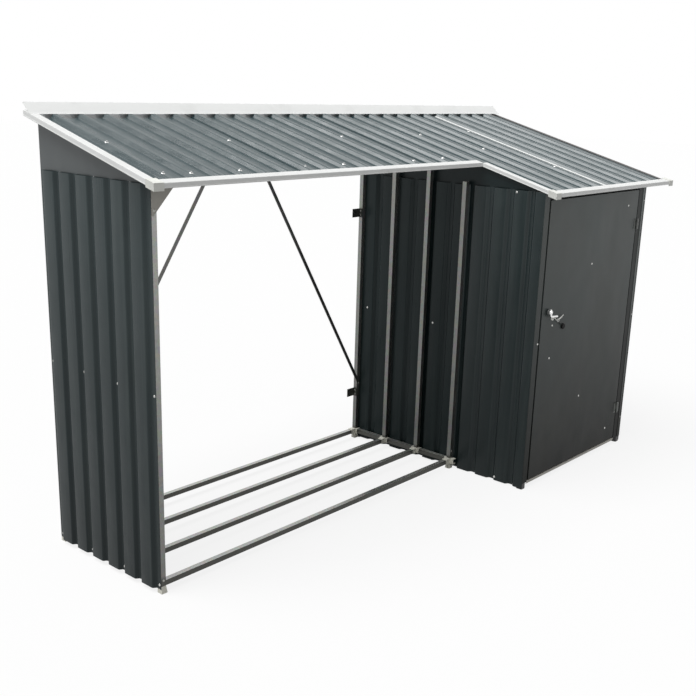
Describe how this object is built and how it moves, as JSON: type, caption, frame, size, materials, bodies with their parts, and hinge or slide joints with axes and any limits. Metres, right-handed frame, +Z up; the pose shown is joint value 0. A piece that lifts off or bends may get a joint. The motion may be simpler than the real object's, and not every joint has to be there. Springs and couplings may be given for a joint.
{
  "type": "log store with tool shed",
  "caption": "Sheet steel log store: an open bay for firewood beside a closed tool shed with a hinged door, under one sloping corrugated roof with a step in its eaves.",
  "frame": {"origin": "on the ground, at the centre of the overall outline in plan", "axes": "+X along the store towards the shed, +Y to the back, +Z up"},
  "size_m": [2.561, 0.964, 1.4625],
  "materials": {
    "roof_sheet": "satin coated sheet",
    "wall_sheet": "satin coated sheet",
    "door_sheet": "satin coated sheet",
    "white_trim": "satin white coating",
    "dark_trim": "satin coated sheet",
    "galvanised": "zinc coated, dull",
    "plated_metal": "bright plated",
    "dark_fittings": "satin dark coating",
    "white_plastic": "moulded",
    "grey_plastic": "moulded",
    "black_plastic": "moulded"
  },
  "bodies": {
    "store": {"left_wall_panel": "wall_sheet", "divider_wall_panel": "wall_sheet", "right_wall_panel": "wall_sheet", "back_wall_panel": "wall_sheet", "gable_infills": "wall_sheet", "left_posts": "galvanised", "divider_posts": "galvanised", "bay_side_rails": "galvanised", "floor_tubes": "galvanised", "connectors": "grey_plastic", "bay_feet": "grey_plastic", "shed_feet": "black_plastic", "shed_rear_posts": "galvanised", "shed_front_posts": "galvanised", "shed_side_rails": "galvanised", "shed_rear_rails": "galvanised", "door_sill": "galvanised", "rafters": "galvanised", "front_eaves_beam": "galvanised", "rear_top_beam": "galvanised", "rear_braces": "galvanised", "corner_gusset": "galvanised", "wall_brackets": "dark_fittings", "roof_sheet_1": "roof_sheet", "roof_sheet_2": "roof_sheet", "roof_sheet_3": "roof_sheet", "roof_sheet_4": "roof_sheet", "bay_eaves_trim": "white_trim", "shed_eaves_trim": "white_trim", "left_verge_trim": "white_trim", "step_trim": "white_trim", "right_verge_trim": "dark_trim", "back_flashing": "white_trim", "corner_caps": "white_plastic", "left_door_jamb": "door_sheet", "right_door_jamb": "door_sheet", "door_header": "door_sheet", "hinge_frame_leaves": "dark_fittings"},
    "door": {"door_skin": "door_sheet", "door_diagonals": "door_sheet", "lock_body": "plated_metal", "hinge_door_leaves": "dark_fittings"},
    "handle": {"door_handle": "plated_metal", "latch_cam": "plated_metal"}
  },
  "joints": [
    {"name": "door_hinge", "type": "hinge", "parent": "store", "child": "door", "pos_m": [1.059, -0.4409, 0.155], "axis": [0, 0, 1], "range_deg": [0, 105]},
    {"name": "handle_turn", "type": "hinge", "parent": "door", "child": "handle", "pos_m": [0.3765, -0.446, 0.71838], "axis": [0, 1, 0], "range_deg": [0, 90]}
  ]
}
